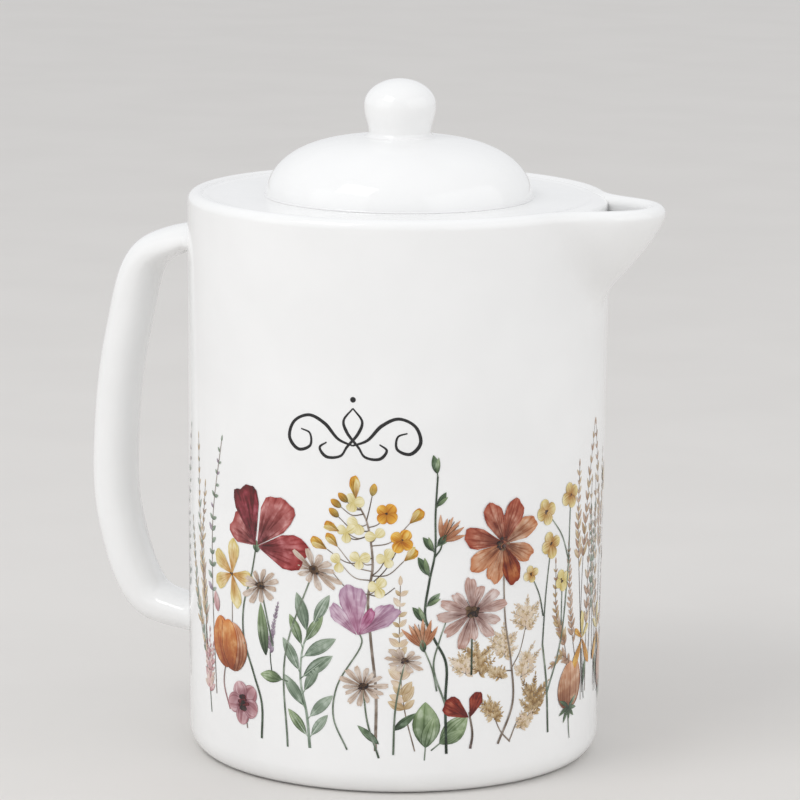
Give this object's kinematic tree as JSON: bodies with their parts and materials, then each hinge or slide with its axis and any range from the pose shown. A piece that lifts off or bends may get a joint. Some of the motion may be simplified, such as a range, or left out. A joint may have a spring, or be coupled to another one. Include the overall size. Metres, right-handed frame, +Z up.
{
  "type": "lidded ceramic pitcher",
  "caption": "Tall straight-sided porcelain pitcher with a V-shaped pouring beak, a loop handle and a domed lift-off lid with a button knob.",
  "frame": {"origin": "on the plane the pitcher stands on, midway between the handle's outermost point and the beak's tip; the pot's own axis is 7.5 mm towards +X", "axes": "+Z up, +X towards the pouring beak, -X towards the handle, the XZ plane is the plane of symmetry"},
  "size_m": [0.1714, 0.12, 0.1931],
  "materials": {
    "pot_glaze": "white gloss glaze with a printed wildflower border",
    "beak_glaze": "white gloss glaze",
    "handle_glaze": "white gloss glaze",
    "lid_glaze": "white gloss glaze",
    "knob_glaze": "white gloss glaze"
  },
  "bodies": {
    "pot": {"pot_body": "pot_glaze", "pouring_beak": "beak_glaze", "handle": "handle_glaze"},
    "lid": {"lid_cover": "lid_glaze", "lid_knob": "knob_glaze"}
  },
  "joints": [
    {"name": "lid_lift", "type": "slide", "parent": "pot", "child": "lid", "axis": [0, 0, 1], "range_m": [0, 0.09]}
  ]
}
